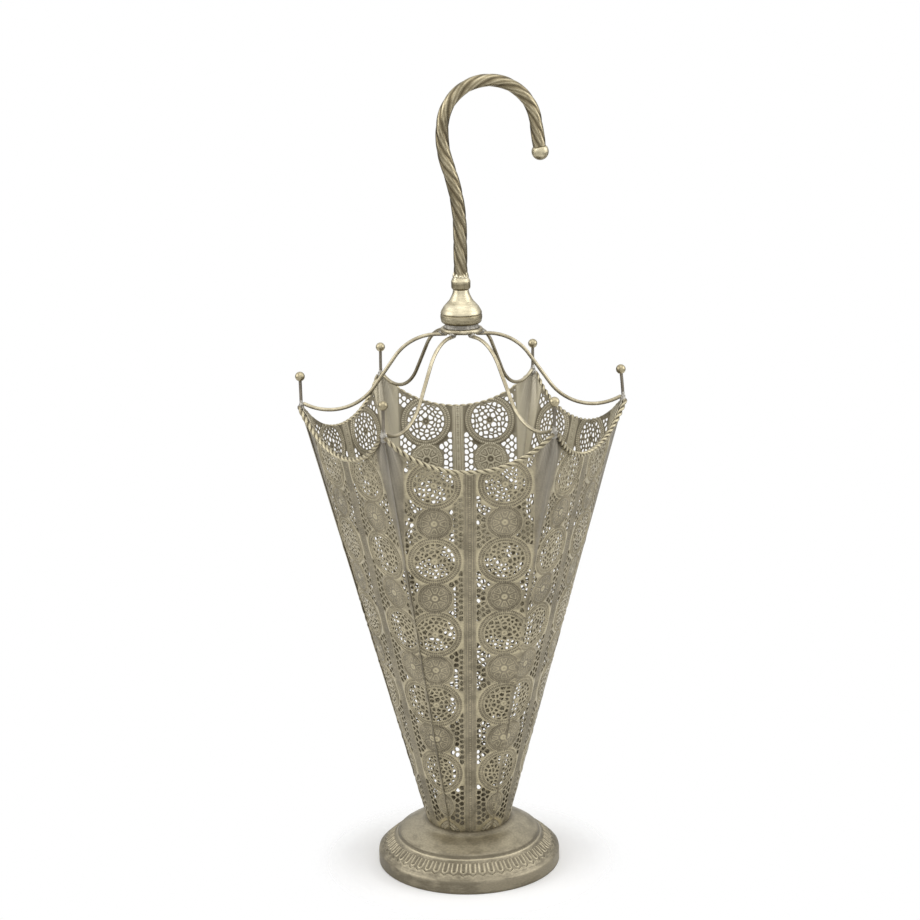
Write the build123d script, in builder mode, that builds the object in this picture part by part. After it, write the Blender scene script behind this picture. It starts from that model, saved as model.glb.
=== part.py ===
from build123d import *
import os
from math import asin, atan2, cos, degrees, hypot, radians, sin, sqrt, tan

# Umbrella stand shaped like an upturned umbrella. Millimetres, +Z up.
# The origin is the centre of the foot on the floor, tip 1 lies on +X and the crook points along +X.

# Gaps left for solder between pieces that are joined, and between the gores
solder_gap = 0.2
seam_gap = 0.2

# Foot: a hollow sheet pressing with wall, sloping band, step and dome
foot_radius = 98.0
foot_sheet = 1.0
foot_lip_width = 7.0
foot_wall_height = 13.8
foot_shoulder_bend = 4.0
band_inner_radius = 73.5
band_rise = 15.4
step_height = 5.3
step_bend = 5.0
dome_waist_radius = 52.0
dome_waist_rise = 8.5
dome_bend = 30.0
neck_rise = 5.0
ledge_width = 1.5
neck_opening_radius = 34.0

# Body: six pierced sheet gores, round at the neck and six-sided at the tips
gore_count = 6
gore_sheet = 0.8
neck_radius = 44.0
tip_radius = 166.5
tip_height = 506.5
gore_bulge = 6.5
scallop_drop = 37.5
tip_land = 2.5

# Floor pan inside the neck
pan_sheet = 0.8
pan_depth = 9.0

# Piercing: two columns of pierced wheels, with plain rosettes and pierced spandrels between them
wheel_offset = 35.1
wheel_spacing = 85.6
first_wheel = 74.0
wheel_rows = 5
wheel_radius = 20.2
wheel_middle_radius = 11.0
wheel_boss_radius = 4.6
wheel_bar = 2.0
outer_hole_count = 9
inner_hole_count = 4
spandrel_offset = 10.8
spandrel_pitch = 12.0
spandrel_count = 3
spandrel_hole_radius = 3.6
pierced_margin = 4.0

# Twisted-wire trim outside the scalloped edge
rope_radius = 2.5
rope_below_edge = 1.0

# Ribs, hub ring and tips
rib_radius = 1.9
rib_hub_height = 577.4
rib_knee_radius = 53.0
rib_knee_bend = 52.0
rib_dip_inset = 47.5
rib_dip_depth = 23.0
rib_end_lift = 2.0
rib_end_straight = 0.228
hub_ring_radius = 19.4
hub_ring_wire = 2.5
post_radius = 1.65
ball_height = 29.9
ball_radius = 5.0
ball_bore_depth = 4.0

# Stack on the hub: weld collar, bell and bead, threaded on the handle's tenon
tenon_radius = 4.0
tenon_clearance = 0.1
collar_height = 3.4
collar_foot_radius = 20.6
collar_top_radius = 17.4
bell_height = 35.0
bell_foot_radius = 17.2
bell_radius = 21.5
bell_belly_height = 8.0
bell_belly_bend = 11.2
bell_shoulder_radius = 18.4
bell_shoulder_height = 18.0
bell_neck_radius = 7.9
bell_groove_depth = 0.7
bead_height = 13.4
bead_foot_radius = 8.1
bead_peak_radius = 10.0
bead_belly_height = 5.6
bead_belly_bend = 8.0
bead_top_radius = 7.6

# Crook handle: a rod of four twisted lobes
lobe_count = 4
lobe_radius = 4.2
lobe_offset = 3.3
twist_lead = 95.0
sections_per_turn = 16
lead_length = 45.0
sway_radius = 200.0
sway_angle = 17.5
sway_length = 10.0
heel_radius = 95.0
heel_angle = 25.5
crook_radius = 47.0
crook_angle = 164.0
crook_end_length = 27.0
crook_ball_radius = 8.7
crook_ball_land = 0.5

# Heights that follow from the stack
band_height = foot_wall_height + band_rise
step_top = band_height + step_height
waist_height = step_top + dome_waist_rise
neck_height = waist_height + neck_rise
ring_height = rib_hub_height + rib_radius + solder_gap + hub_ring_wire
collar_base = ring_height + hub_ring_wire + solder_gap
bell_base = collar_base + collar_height
bead_base = bell_base + bell_height
handle_base = bead_base + bead_height

# Gore geometry, with the gore's middle on +X
half_turn = radians(180 / gore_count)
crown_radius = tip_radius * cos(half_turn) + gore_bulge
gore_rise = tip_height - neck_height
gore_lean = (crown_radius - neck_radius) / gore_rise
gore_length = hypot(gore_rise, crown_radius - neck_radius)
tip_half_width = tip_radius * sin(half_turn) - seam_gap / 2
neck_half_width = neck_radius * sin(half_turn) - seam_gap / 2

# Scallop: an arc through both tips and a low point on the gore's middle line
chord_radius = tip_radius * cos(half_turn)
low_radius = crown_radius - gore_lean * scallop_drop
scallop_sag = hypot(scallop_drop, chord_radius - low_radius)
scallop_half_width = tip_half_width - tip_land
scallop_radius = (scallop_half_width**2 + scallop_sag**2) / (2 * scallop_sag)
scallop_centre = (0, scallop_radius - scallop_sag)
scallop_plane = Plane(
    origin=(chord_radius, 0, tip_height),
    x_dir=(0, 1, 0),
    z_dir=(scallop_drop, 0, low_radius - chord_radius),
)
panel_plane = Plane(
    origin=(neck_radius, 0, neck_height),
    x_dir=(0, 1, 0),
    z_dir=(gore_rise, 0, neck_radius - crown_radius),
)

os.makedirs("parts", exist_ok=True)


def write(solid, label):
    solid.label = label
    export_step(solid, f"parts/{label}.step")


def write_around(solid, label, first_angle):
    for index in range(gore_count):
        angle = first_angle + index * 360 / gore_count
        write(solid.rotate(Axis.Z, angle), f"{label}_{index + 1}")


def is_clear(spot, reach):
    across, along = spot.position.X, spot.position.Y
    half_width = neck_half_width + (tip_half_width - neck_half_width) * along / gore_length
    to_seam = half_width - abs(across)
    to_rim = hypot(across, along - gore_length - scallop_centre[1]) - scallop_radius
    return min(to_seam, to_rim, along) > reach + pierced_margin


def pierce_ring(centre, inner_radius, outer_radius, count):
    inner_half = inner_radius * sin(radians(180 / count)) - wheel_bar / 2
    outer_half = outer_radius * sin(radians(180 / count)) - wheel_bar / 2
    middle = (inner_radius + outer_radius - wheel_bar) / 2
    reach = (outer_radius - inner_radius - wheel_bar) / 2
    with Locations(centre):
        ring = PolarLocations(middle, count)
    spots = [spot for spot in ring.local_locations if is_clear(spot, reach)]
    if spots:
        with Locations(*spots):
            Polygon(
                (-reach, -inner_half),
                (reach, -outer_half),
                (reach, outer_half),
                (-reach, inner_half),
                align=None,
            )


# Foot
with BuildPart() as foot:
    with BuildSketch(Plane.XZ):
        with BuildLine():
            FilletPolyline(
                (foot_radius - foot_lip_width, 0),
                (foot_radius, 0),
                (foot_radius, foot_wall_height),
                (band_inner_radius, band_height),
                (band_inner_radius, step_top),
                (dome_waist_radius, waist_height),
                (neck_radius + ledge_width, neck_height),
                (neck_opening_radius, neck_height),
                radius=(0, foot_shoulder_bend, 0, step_bend, dome_bend, 0),
            )
            offset(amount=foot_sheet, side=Side.LEFT, kind=Kind.INTERSECTION)
        make_face()
    revolve(axis=Axis.Z)
write(foot.part, "base_foot")

# Floor pan, flat on the foot's ledge, with a rim that follows the gores
pan_radius = neck_radius - gore_sheet - solder_gap
with BuildPart() as pan:
    with BuildSketch(Plane.XZ):
        with BuildLine():
            Polyline(
                (0, neck_height),
                (pan_radius, neck_height),
                (pan_radius + gore_lean * pan_depth, neck_height + pan_depth),
            )
            offset(amount=pan_sheet, side=Side.LEFT)
        make_face()
    revolve(axis=Axis.Z)
write(pan.part, "floor_pan")

# Gore: ruled from a round neck to a nearly straight tip edge, scalloped and pierced
with BuildPart() as gore:
    for level, corner, crown in (
        (neck_height, neck_radius, neck_radius),
        (tip_height, tip_radius, crown_radius),
    ):
        outer_x = corner * cos(half_turn)
        outer_y = corner * sin(half_turn) - seam_gap / 2
        inner_x = (corner - gore_sheet) * cos(half_turn)
        inner_y = (corner - gore_sheet) * sin(half_turn) - seam_gap / 2
        with BuildSketch(Plane.XY.offset(level)):
            with BuildLine():
                ThreePointArc((outer_x, -outer_y), (crown, 0), (outer_x, outer_y))
                Line((outer_x, outer_y), (inner_x, inner_y))
                ThreePointArc((inner_x, inner_y), (crown - gore_sheet, 0), (inner_x, -inner_y))
                Line((inner_x, -inner_y), (outer_x, -outer_y))
            make_face()
    loft(ruled=True)
    with BuildSketch(scallop_plane):
        with Locations(scallop_centre):
            Circle(scallop_radius)
    extrude(amount=2 * gore_bulge, both=True, mode=Mode.SUBTRACT)
    with BuildSketch(panel_plane):
        for row in range(wheel_rows):
            wheel_height = first_wheel + row * wheel_spacing
            for side in (-1, 1):
                wheel_centre = (side * wheel_offset, wheel_height)
                pierce_ring(wheel_centre, wheel_boss_radius, wheel_middle_radius, inner_hole_count)
                pierce_ring(wheel_centre, wheel_middle_radius, wheel_radius, outer_hole_count)
                for across in (spandrel_offset, 2 * wheel_offset - spandrel_offset):
                    with Locations((side * across, wheel_height - wheel_spacing / 2)):
                        column = GridLocations(0, spandrel_pitch, 1, spandrel_count)
                    holes = column.local_locations
                    spots = [hole for hole in holes if is_clear(hole, spandrel_hole_radius)]
                    if spots:
                        with Locations(*spots):
                            RegularPolygon(spandrel_hole_radius, 4)
    extrude(amount=2 * gore_bulge, both=True, mode=Mode.SUBTRACT)
write_around(gore.part, "gore_panel", degrees(half_turn))

# Rope trim: follows the scallop outside the sheet and is mitred beside the tip posts
rope_path_radius = scallop_radius + rope_below_edge
rope_span = degrees(asin((tip_half_width + 2 * rope_radius) / rope_path_radius))
mitre_distance = post_radius + solder_gap
with BuildPart() as rope:
    with BuildLine(scallop_plane.offset(rope_radius + solder_gap)) as rope_path:
        CenterArc(scallop_centre, rope_path_radius, -90 - rope_span, 2 * rope_span)
    with BuildSketch(rope_path.line ^ 0):
        Circle(rope_radius)
    sweep()
    for side in (-1, 1):
        away = Vector(-sin(half_turn), side * cos(half_turn), 0)
        split(bisect_by=Plane(origin=-mitre_distance * away, z_dir=away), keep=Keep.BOTTOM)
write_around(rope.part, "rim_rope", degrees(half_turn))

# Tip post, on the corner of two gores, and the drilled ball on it
post_axis = tip_radius - gore_sheet / 2
post_base = tip_height + solder_gap
ball_centre = tip_height + ball_height
bore_end = ball_centre - ball_radius + ball_bore_depth
with BuildPart() as post:
    with BuildSketch(Plane.XY.offset(post_base)):
        with Locations((post_axis, 0)):
            Circle(post_radius)
    extrude(amount=bore_end - solder_gap - post_base)
write_around(post.part, "tip_post", 0)

with BuildPart() as ball:
    with Locations((post_axis, 0, ball_centre)):
        Sphere(ball_radius)
    with BuildSketch(Plane.XY.offset(bore_end)):
        with Locations((post_axis, 0)):
            Circle(post_radius + solder_gap)
    extrude(amount=-ball_radius, mode=Mode.SUBTRACT)
write_around(ball.part, "tip_ball", 0)

# Rib: level under the hub ring, then down in an S to a dip and up to the foot of the post
# The bend at the dip fills the run to the post but for a short straight end
rib_dip_radius = tip_radius - rib_dip_inset
rib_fall = rib_hub_height - tip_height + rib_dip_depth
rib_climb = rib_dip_depth + rib_end_lift
rib_tail = hypot(post_axis - rib_dip_radius, rib_climb)
rib_end = post_axis - post_radius - solder_gap - rib_radius * rib_climb / rib_tail
fall_angle = atan2(rib_fall, rib_dip_radius - rib_knee_radius)
climb_angle = atan2(rib_climb, rib_end - rib_dip_radius)
last_run = hypot(rib_end - rib_dip_radius, rib_climb)
rib_dip_bend = (last_run - rib_end_straight) / tan((fall_angle + climb_angle) / 2)
with BuildPart() as rib:
    with BuildLine(Plane.XZ) as rib_path:
        FilletPolyline(
            (hub_ring_radius - 2 * hub_ring_wire, rib_hub_height),
            (rib_knee_radius, rib_hub_height),
            (rib_dip_radius, tip_height - rib_dip_depth),
            (rib_end, tip_height + rib_end_lift),
            radius=(rib_knee_bend, rib_dip_bend),
        )
    with BuildSketch(rib_path.line ^ 0):
        Circle(rib_radius)
    sweep()
write_around(rib.part, "rib_wire", 0)

# Hub ring, lying on the inner ends of the ribs
with BuildPart() as ring:
    with BuildSketch(Plane.XZ):
        with Locations((hub_ring_radius, ring_height)):
            Circle(hub_ring_wire)
    revolve(axis=Axis.Z)
write(ring.part, "hub_ring")

# Weld collar on the ring
bore_radius = tenon_radius + tenon_clearance
with BuildPart() as collar:
    with BuildSketch(Plane.XZ):
        with BuildLine():
            Polyline(
                (bore_radius, collar_base),
                (collar_foot_radius, collar_base),
                (collar_top_radius, bell_base),
                (bore_radius, bell_base),
                close=True,
            )
        make_face()
    revolve(axis=Axis.Z)
write(collar.part, "hub_collar")

# Bell: round belly with a groove, and a hollow shoulder up to the neck
with BuildPart() as bell:
    with BuildSketch(Plane.XZ):
        with BuildLine():
            foot_line = Line((bore_radius, bell_base), (bell_foot_radius, bell_base))
            belly_point = (bell_radius, bell_base + bell_belly_height)
            belly = RadiusArc(foot_line @ 1, belly_point, -bell_belly_bend)
            shoulder = TangentArc(
                belly @ 1,
                (bell_shoulder_radius, bell_base + bell_shoulder_height),
                tangent=(0, 1),
            )
            flank = TangentArc(shoulder @ 1, (bell_neck_radius, bead_base), tangent=shoulder % 1)
            Polyline(flank @ 1, (bore_radius, bead_base), foot_line @ 0)
        make_face()
    revolve(axis=Axis.Z)
    with BuildSketch(Plane.XZ):
        with Locations(belly @ 1):
            RegularPolygon(bell_groove_depth, 4)
    revolve(axis=Axis.Z, mode=Mode.SUBTRACT)
write(bell.part, "bell_finial")

# Bead: a barrel between the bell and the handle
with BuildPart() as bead:
    with BuildSketch(Plane.XZ):
        with BuildLine():
            barrel = FilletPolyline(
                (bead_foot_radius, bead_base),
                (bead_peak_radius, bead_base + bead_belly_height),
                (bead_top_radius, handle_base),
                radius=bead_belly_bend,
            )
            Polyline(barrel @ 1, (bore_radius, handle_base), (bore_radius, bead_base), barrel @ 0)
        make_face()
    revolve(axis=Axis.Z)
write(bead.part, "collar_bead")

# Crook handle: lobed sections turned along the bent path, and a round tenon below
with BuildPart() as handle:
    with BuildLine(Plane.XZ, mode=Mode.PRIVATE) as crook_path:
        lead = Line((0, handle_base), (0, handle_base + lead_length))
        sway = JernArc(lead @ 1, lead % 1, sway_radius, sway_angle)
        run = PolarLine(sway @ 1, sway_length, direction=sway % 1)
        heel = JernArc(run @ 1, run % 1, heel_radius, -heel_angle)
        bow = JernArc(heel @ 1, heel % 1, crook_radius, -crook_angle)
        PolarLine(bow @ 1, crook_end_length, direction=bow % 1)
    crook = crook_path.wire()
    turns = crook.length / twist_lead
    steps = round(turns * sections_per_turn)
    for step in range(steps + 1):
        place = step / steps
        along = Axis((0, 0, 0), crook % place)
        across = Vector(0, 1, 0).rotate(along, -360 * turns * place)
        with BuildSketch(Plane(crook @ place, x_dir=across, z_dir=along.direction)):
            with PolarLocations(lobe_offset, lobe_count):
                Circle(lobe_radius)
    loft(ruled=True)
    with BuildSketch(Plane.XY.offset(collar_base)):
        Circle(tenon_radius)
    extrude(amount=handle_base - collar_base)
write(handle.part, "crook_handle")

# Ball on the end of the crook, with a flat seat for the rod
rod_radius = lobe_offset + lobe_radius
seat_distance = sqrt(crook_ball_radius**2 - (rod_radius + crook_ball_land) ** 2)
ball_seat = Plane(crook @ 1, x_dir=(0, 1, 0), z_dir=crook % 1).offset(solder_gap)
with BuildPart() as crook_ball:
    with Locations(ball_seat.offset(seat_distance).origin):
        Sphere(crook_ball_radius)
    split(bisect_by=ball_seat, keep=Keep.TOP)
write(crook_ball.part, "crook_ball")
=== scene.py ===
import math
import random

import bpy
import numpy as np
from mathutils import Euler, Matrix, Vector, noise
from mathutils.geometry import delaunay_2d_cdt


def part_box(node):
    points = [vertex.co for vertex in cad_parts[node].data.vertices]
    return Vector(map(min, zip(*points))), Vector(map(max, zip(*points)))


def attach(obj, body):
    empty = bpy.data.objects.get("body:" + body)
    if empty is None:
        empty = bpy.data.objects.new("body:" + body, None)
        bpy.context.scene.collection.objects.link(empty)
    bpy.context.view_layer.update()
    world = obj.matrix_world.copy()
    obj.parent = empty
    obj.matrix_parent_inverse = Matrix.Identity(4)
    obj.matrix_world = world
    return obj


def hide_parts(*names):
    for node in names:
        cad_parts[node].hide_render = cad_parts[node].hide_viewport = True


# Umbrella stand of patinated brass: pierced sheet basket, wire ribs, twisted crook, pressed foot.
# Shapes are worked out in millimetres and turned into metres when a mesh is made.
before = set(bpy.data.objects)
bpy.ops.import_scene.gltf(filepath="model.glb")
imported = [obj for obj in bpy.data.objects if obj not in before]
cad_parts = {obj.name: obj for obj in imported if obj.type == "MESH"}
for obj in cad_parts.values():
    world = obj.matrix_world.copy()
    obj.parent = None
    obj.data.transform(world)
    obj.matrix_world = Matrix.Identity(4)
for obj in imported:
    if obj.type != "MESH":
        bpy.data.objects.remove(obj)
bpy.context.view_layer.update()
scene = bpy.context.scene
scene.view_settings.view_transform = "Standard"
mm = 0.001
gores = 6
sector = math.tau / gores


def report(text):
    print("umbrella stand:", text)


def boxOf(node):
    low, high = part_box(node)
    return low / mm, high / mm


# 0 at low, 1 at high, with soft ends
def smoothStep(low, high, x):
    t = np.clip((x - low) / (high - low), 0.0, 1.0)
    return t * t * (3 - 2 * t)


def plateau(low, high, soft, x):
    return smoothStep(low, low + soft, x) * smoothStep(high, high - soft, x)


def ridge(x, middle, width):
    return np.exp(-(((x - middle) / width) ** 2))


# Ridges side by side, each given as middle, width and height
def ridges(x, rows):
    return sum(height * ridge(x, middle, width) for middle, width, height in rows)


def noiseAt(x, y, z):
    return np.array([noise.noise(spot) for spot in np.column_stack(np.broadcast_arrays(x, y, z))])


def lumps(points, size, seed):
    return np.array([noise.noise(Vector(p) / size + Vector((seed, 0, 0))) for p in points])


def turned(points, angle):
    c, s = math.cos(angle), math.sin(angle)
    points = np.asarray(points, float)
    x = points[:, 0] * c - points[:, 1] * s
    y = points[:, 0] * s + points[:, 1] * c
    return np.column_stack((x, y, points[:, 2]))


# A mesh object that rides on the stand and stands for CAD nodes
def addPiece(name, points, faces, material, slot, nodes=(), raised=None, sharp=None, **masks):
    mesh = bpy.data.meshes.new(name)
    mesh.from_pydata(np.asarray(points, float) * mm, [], faces)
    mesh.update()
    if raised is not None:
        masks["raised"] = raised
    for maskName, values in masks.items():
        layer = mesh.attributes.new(maskName, "FLOAT", "POINT")
        layer.data.foreach_set("value", np.asarray(values, np.float32))
    mesh.polygons.foreach_set("use_smooth", [True] * len(mesh.polygons))
    if sharp is not None:
        mesh.set_sharp_from_angle(angle=math.radians(sharp))
    mesh.materials.append(material)
    piece = bpy.data.objects.new(name, mesh)
    scene.collection.objects.link(piece)
    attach(piece, "root")
    if nodes:
        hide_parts(*nodes)


# Points along straight runs whose corners are rounded by the given radii
def roundedRun(corners, radii, step):
    corners = [np.asarray(c, float) for c in corners]
    path = [corners[0]]
    for before, corner, after, radius in zip(corners, corners[1:], corners[2:], radii):
        back = (before - corner) / np.linalg.norm(before - corner)
        ahead = (after - corner) / np.linalg.norm(after - corner)
        half = math.acos(np.clip(np.dot(back, ahead), -1, 1)) / 2
        if radius <= 0:
            path.append(corner)
            continue
        start = corner + back * radius / math.tan(half)
        end = corner + ahead * radius / math.tan(half)
        inward = (back + ahead) / np.linalg.norm(back + ahead)
        centre = corner + inward * radius / math.sin(half)
        sweep = math.pi - 2 * half
        count = max(3, int(sweep * radius / step))
        a, b = start - centre, end - centre
        for k in range(count + 1):
            t = k / count
            arm = (a * math.sin((1 - t) * sweep) + b * math.sin(t * sweep)) / math.sin(sweep)
            path.append(centre + arm)
    path.append(corners[-1])
    spread = []
    for p, q in zip(path, path[1:]):
        count = max(1, int(np.linalg.norm(q - p) / step))
        spread += [p + (q - p) * k / count for k in range(count)]
    return np.array(spread + [path[-1]])


# Rings of points carried along a path without twisting, with both ends closed
def sweptSkin(path, outlines):
    path = np.asarray(path, float)
    ahead = np.gradient(path, axis=0)
    ahead /= np.linalg.norm(ahead, axis=1)[:, None]
    side = np.cross(ahead[0], (0.0, 1.0, 0.0))
    if np.linalg.norm(side) < 0.1:
        side = np.cross(ahead[0], (1.0, 0.0, 0.0))
    points, sides = [], len(outlines[0])
    for spot, way, outline in zip(path, ahead, outlines):
        side = side - way * np.dot(side, way)
        side /= np.linalg.norm(side)
        other = np.cross(way, side)
        points += [spot + side * a + other * b for a, b in outline]
    faces = []
    for ring in range(len(path) - 1):
        for k in range(sides):
            a, b = ring * sides + k, ring * sides + (k + 1) % sides
            faces.append((a, b, b + sides, a + sides))
    faces.append(tuple(range(sides))[::-1])
    faces.append(tuple(range((len(path) - 1) * sides, len(path) * sides)))
    return np.array(points), faces


# Wire with domed ends
def wireSkin(path, radius, sides):
    path = np.asarray(path, float)
    start = (path[0] - path[1]) / np.linalg.norm(path[0] - path[1])
    end = (path[-1] - path[-2]) / np.linalg.norm(path[-1] - path[-2])
    dome = (0.98, 0.75, 0.4)  # rings of a domed end, as shares of the radius
    flat = 0.8
    head = [path[0] - start * radius * (1 - x) * flat for x in dome]
    tail = [path[-1] - end * radius * (1 - x) * flat for x in dome[::-1]]
    fromStart = np.linalg.norm(path - path[0], axis=1)
    fromEnd = np.linalg.norm(path - path[-1], axis=1)
    keep = list(path[(fromStart > radius) & (fromEnd > radius)])
    radii = [radius * math.sqrt(1 - x * x) for x in dome]
    radii = radii + [radius] * len(keep) + radii[::-1]
    turns = np.arange(sides) * math.tau / sides
    outlines = [[(r * math.cos(t), r * math.sin(t)) for t in turns] for r in radii]
    return sweptSkin(head + keep + tail, outlines)


# Surface turned about the Z axis; shift gives each point's move away from the profile
def latheSkin(profile, columns, closed, shift=None):
    profile = np.asarray(profile, float)
    turns = np.arange(columns) * math.tau / columns
    rows = len(profile)
    r = np.repeat(profile[:, 0], columns)
    z = np.repeat(profile[:, 1], columns)
    turn = np.tile(turns, rows)
    if shift is not None:
        dr, dz = shift(r, z, turn)
        r, z = r + dr, z + dz
    points = np.column_stack((r * np.cos(turn), r * np.sin(turn), z))
    faces = []
    for row in range(rows if closed else rows - 1):
        below, above = row * columns, (row + 1) % rows * columns
        for k in range(columns):
            m = (k + 1) % columns
            faces.append((below + k, below + m, above + m, above + k))
    return points, faces


# Half outline of a ball or a flattened ball; the poles stay open by a hair
def ballProfile(across, upright, rows, pole):
    turns = np.linspace(-math.pi / 2, math.pi / 2, rows)
    return [(max(pole, across * math.cos(t)), upright * math.sin(t)) for t in turns]


def raisedBy(corners, height):
    return [(r, z + height) for r, z in corners]


def joined(parts):
    points, faces, first = [], [], 0
    for partPoints, partFaces in parts:
        points.append(np.asarray(partPoints, float))
        faces += [tuple(k + first for k in face) for face in partFaces]
        first += len(partPoints)
    return np.vstack(points), faces


# Sets values on a node's sockets and links the outputs of other nodes to them
def feed(tree, node, inputs):
    for key, value in inputs.items():
        if isinstance(value, bpy.types.NodeSocket):
            tree.links.new(value, node.inputs[key])
        else:
            node.inputs[key].default_value = value


def addNode(tree, kind, inputs, **settings):
    node = tree.nodes.new("ShaderNode" + kind)
    for key, value in settings.items():
        setattr(node, key, value)
    feed(tree, node, inputs)
    return node.outputs


def mathNode(tree, operation, a, b=0.0, clamp=False):
    return addNode(tree, "Math", {0: a, 1: b}, operation=operation, use_clamp=clamp)[0]


def times(tree, a, b):
    return mathNode(tree, "MULTIPLY", a, b)


def blend(tree, first, second, shares):
    return mathNode(tree, "ADD", times(tree, first, shares[0]), times(tree, second, shares[1]))


def rangeNode(tree, value, low, high, outLow=0.0, outHigh=1.0):
    inputs = {"Value": value, "From Min": low, "From Max": high, "To Min": outLow, "To Max": outHigh}
    return addNode(tree, "MapRange", inputs, interpolation_type="SMOOTHSTEP")["Result"]


def mixColour(tree, share, first, second, mode="MIX"):
    return addNode(tree, "Mix", {0: share, 6: first, 7: second}, data_type="RGBA", blend_type=mode)[2]


def noiseNode(tree, place, scale, detail, rough):
    inputs = {"Vector": place, "Scale": scale, "Detail": detail, "Roughness": rough}
    return addNode(tree, "TexNoise", inputs)["Fac"]


def maskValue(tree, name):
    return addNode(tree, "Attribute", {}, attribute_name=name)["Fac"]


# A screen colour, 0 to 255, as linear light
def colour(red, green, blue):
    return tuple(((x / 255 + 0.055) / 1.055) ** 2.4 for x in (red, green, blue)) + (1.0,)


# Shared finish: mottled patina, fine grain and rubbed edges
patina = {
    "broad": (24, 4, 0.55),  # noise scale, detail and roughness
    "cloud": (95, 5, 0.6),
    "grain": (620, 3, 0.55),
    "stainShares": (0.6, 0.4),  # of broad and cloud
    "stain": (0.56, 0.42),  # clean above the first, stained below the second
    "rubCloud": 0.5,
    "rub": (0.35, 1.0),  # raised metal and painted highlights turn bright between these
    "hollow": (0.05, -0.5, 0.0, 0.75),  # and sunk metal and painted shade go dark, up to the last share
    "grainTone": (0.3, 0.7, 0.86, 1.1),
    "roughness": 0.33,
    "roughShares": (0.3, -0.12),  # rougher with cloud, smoother where rubbed
    "bumpShares": (0.6, 0.4),  # of cloud and grain
    "bump": {"Strength": 0.25, "Distance": 0.0004},
}


def patinaGroup():
    p = patina
    group = bpy.data.node_groups.new("agedBrass", "ShaderNodeTree")
    inputs = (
        ("Dark", "Color", (0.1, 0.1, 0.1, 1)),
        ("Body", "Color", (0.3, 0.3, 0.3, 1)),
        ("Bright", "Color", (0.5, 0.5, 0.5, 1)),
        ("Raised", "Float", 0.0),
        ("Mottle", "Float", 0.5),
        ("Place", "Vector", (0.0, 0.0, 0.0)),
    )
    for name, kind, value in inputs:
        socket = group.interface.new_socket(name, in_out="INPUT", socket_type="NodeSocket" + kind)
        socket.default_value = value
    for name, kind in (("Color", "Color"), ("Roughness", "Float"), ("Height", "Float")):
        group.interface.new_socket(name, in_out="OUTPUT", socket_type="NodeSocket" + kind)
    given = group.nodes.new("NodeGroupInput").outputs
    raised = given["Raised"]
    broad, cloud, grain = (noiseNode(group, given["Place"], *p[kind]) for kind in ("broad", "cloud", "grain"))
    stain = rangeNode(group, blend(group, broad, cloud, p["stainShares"]), *p["stain"])
    body = mixColour(group, times(group, stain, given["Mottle"]), given["Body"], given["Dark"])
    rub = mathNode(group, "ADD", raised, times(group, cloud, p["rubCloud"]))
    rub = rangeNode(group, rub, *p["rub"])
    body = mixColour(group, rangeNode(group, raised, *p["hollow"]), body, given["Dark"])
    body = mixColour(group, rub, body, given["Bright"])
    tint = dict.fromkeys(range(3), rangeNode(group, grain, *p["grainTone"]))
    tint = addNode(group, "CombineColor", tint)[0]
    rough = blend(group, cloud, rub, p["roughShares"])
    outputs = {
        "Color": mixColour(group, 1.0, body, tint, "MULTIPLY"),
        "Roughness": mathNode(group, "ADD", rough, p["roughness"], True),
        "Height": blend(group, cloud, grain, p["bumpShares"]),
    }
    feed(group, group.nodes.new("NodeGroupOutput"), outputs)
    return group


agedBrass = patinaGroup()
# Colours are of stains, of plain metal and of rubbed metal; the first and last also carry painted shade and
# painted highlights.
# brushed stretches the patina along the way a piece was turned or pressed.
finishes = {
    "panelSheet": {"colours": ((94, 87, 71), (137, 129, 110), (181, 171, 142))},
    "footSheet": {
        "colours": ((104, 97, 81), (138, 130, 111), (163, 154, 131)),
        "mottle": 0.8,
        "brushed": (0.6, 0.6, 1.8),
    },
    "brightWire": {
        "colours": ((108, 97, 74), (186, 177, 152), (220, 213, 193)),
        "metallic": 0.9,
        "shine": 0.1,
    },
    "ropeWire": {"colours": ((82, 74, 58), (146, 137, 115), (178, 169, 142)), "mottle": 0.4},
    "postRod": {"colours": ((90, 84, 74), (128, 121, 108), (164, 156, 138))},
    "tipBrass": {
        "colours": ((112, 101, 77), (172, 162, 134), (212, 204, 181)),
        "mottle": 0.4,
        "metallic": 0.9,
        "shine": 0.14,
    },
    "turnedBrass": {
        "colours": ((104, 93, 68), (186, 177, 150), (222, 215, 193)),
        "mottle": 0.4,
        "metallic": 0.95,
        "shine": 0.08,
        "brushed": (0.25, 0.25, 2.0),
    },
    "twistedRod": {
        "colours": ((84, 74, 55), (138, 128, 103), (192, 182, 154)),
        "mottle": 0.4,
        "metallic": 0.9,
        "shine": 0.14,
    },
    "solderGrey": {"colours": ((116, 112, 104), (164, 160, 151), (202, 199, 191)), "metallic": 0.6},
}


# The mask named raised, where a mesh has one, tells the patina what is rubbed and what is sunk, and on some
# pieces where painted shade and painted highlights go
def agedMetal(name, colours, mottle=0.5, metallic=0.75, shine=0.0, brushed=(1, 1, 1)):
    material = bpy.data.materials.new(name)
    material.use_nodes = True
    tree = material.node_tree
    place = {0: addNode(tree, "TexCoord", {})["Object"], 1: brushed}
    place = addNode(tree, "VectorMath", place, operation="MULTIPLY")["Vector"]
    inputs = {"Mottle": mottle, "Place": place, "Raised": maskValue(tree, "raised")}
    inputs.update(zip(("Dark", "Body", "Bright"), (colour(*tone) for tone in colours)))
    finish = addNode(tree, "Group", inputs, node_tree=agedBrass)
    inputs = {
        "Base Color": finish["Color"],
        "Metallic": metallic,
        "Specular IOR Level": 0.4,
        "Roughness": mathNode(tree, "SUBTRACT", finish["Roughness"], shine, True),
        "Normal": addNode(tree, "Bump", {"Height": finish["Height"], **patina["bump"]})["Normal"],
    }
    feed(tree, tree.nodes["Principled BSDF"], inputs)
    return material


metals = {name: agedMetal(name, **finish) for name, finish in finishes.items()}
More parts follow.
